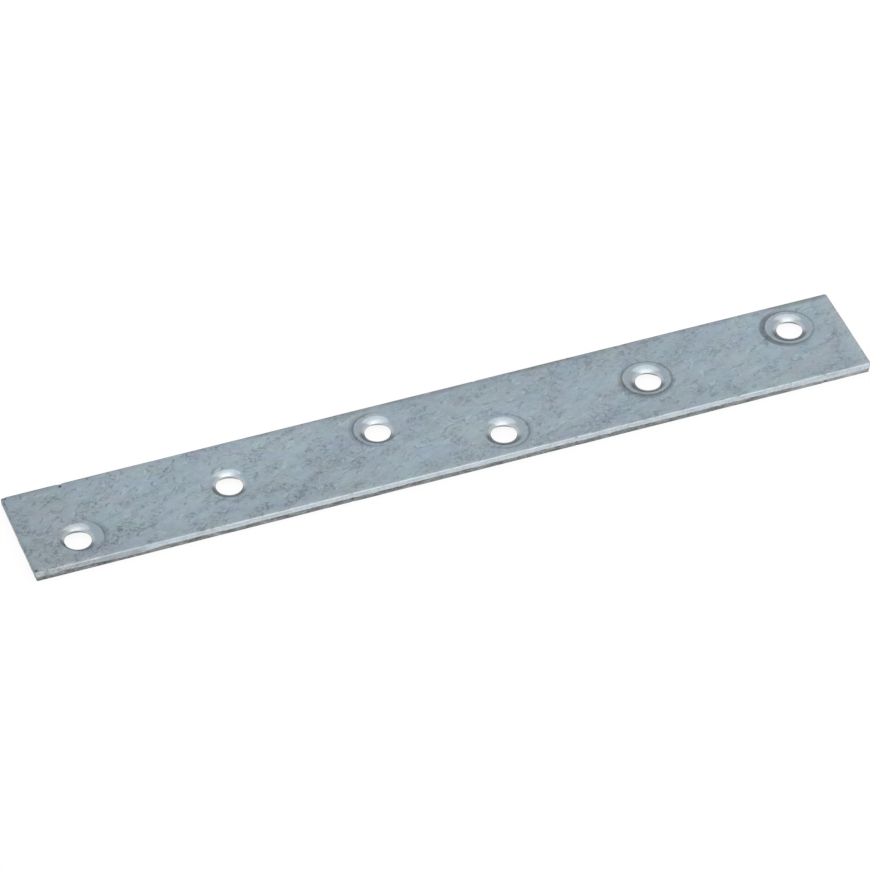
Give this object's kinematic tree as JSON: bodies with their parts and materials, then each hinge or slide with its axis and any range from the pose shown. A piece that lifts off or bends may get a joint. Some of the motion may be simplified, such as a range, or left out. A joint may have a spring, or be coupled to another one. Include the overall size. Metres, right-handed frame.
{
  "type": "mending plate",
  "caption": "Flat galvanised steel plate with slanting rows of countersunk screw holes, for joining two timbers end to end.",
  "frame": {"origin": "middle of the underside, the flat face that lies on the timber", "axes": "+X along the plate, +Y across it, +Z out of the face that the screw heads sink into"},
  "size_m": [0.15, 0.02, 0.0018],
  "materials": {
    "galvanised_steel": "dull mottled zinc coat, rubbed bright along the sheared edges"
  },
  "bodies": {
    "root": {"plate": "galvanised_steel"}
  },
  "joints": []
}
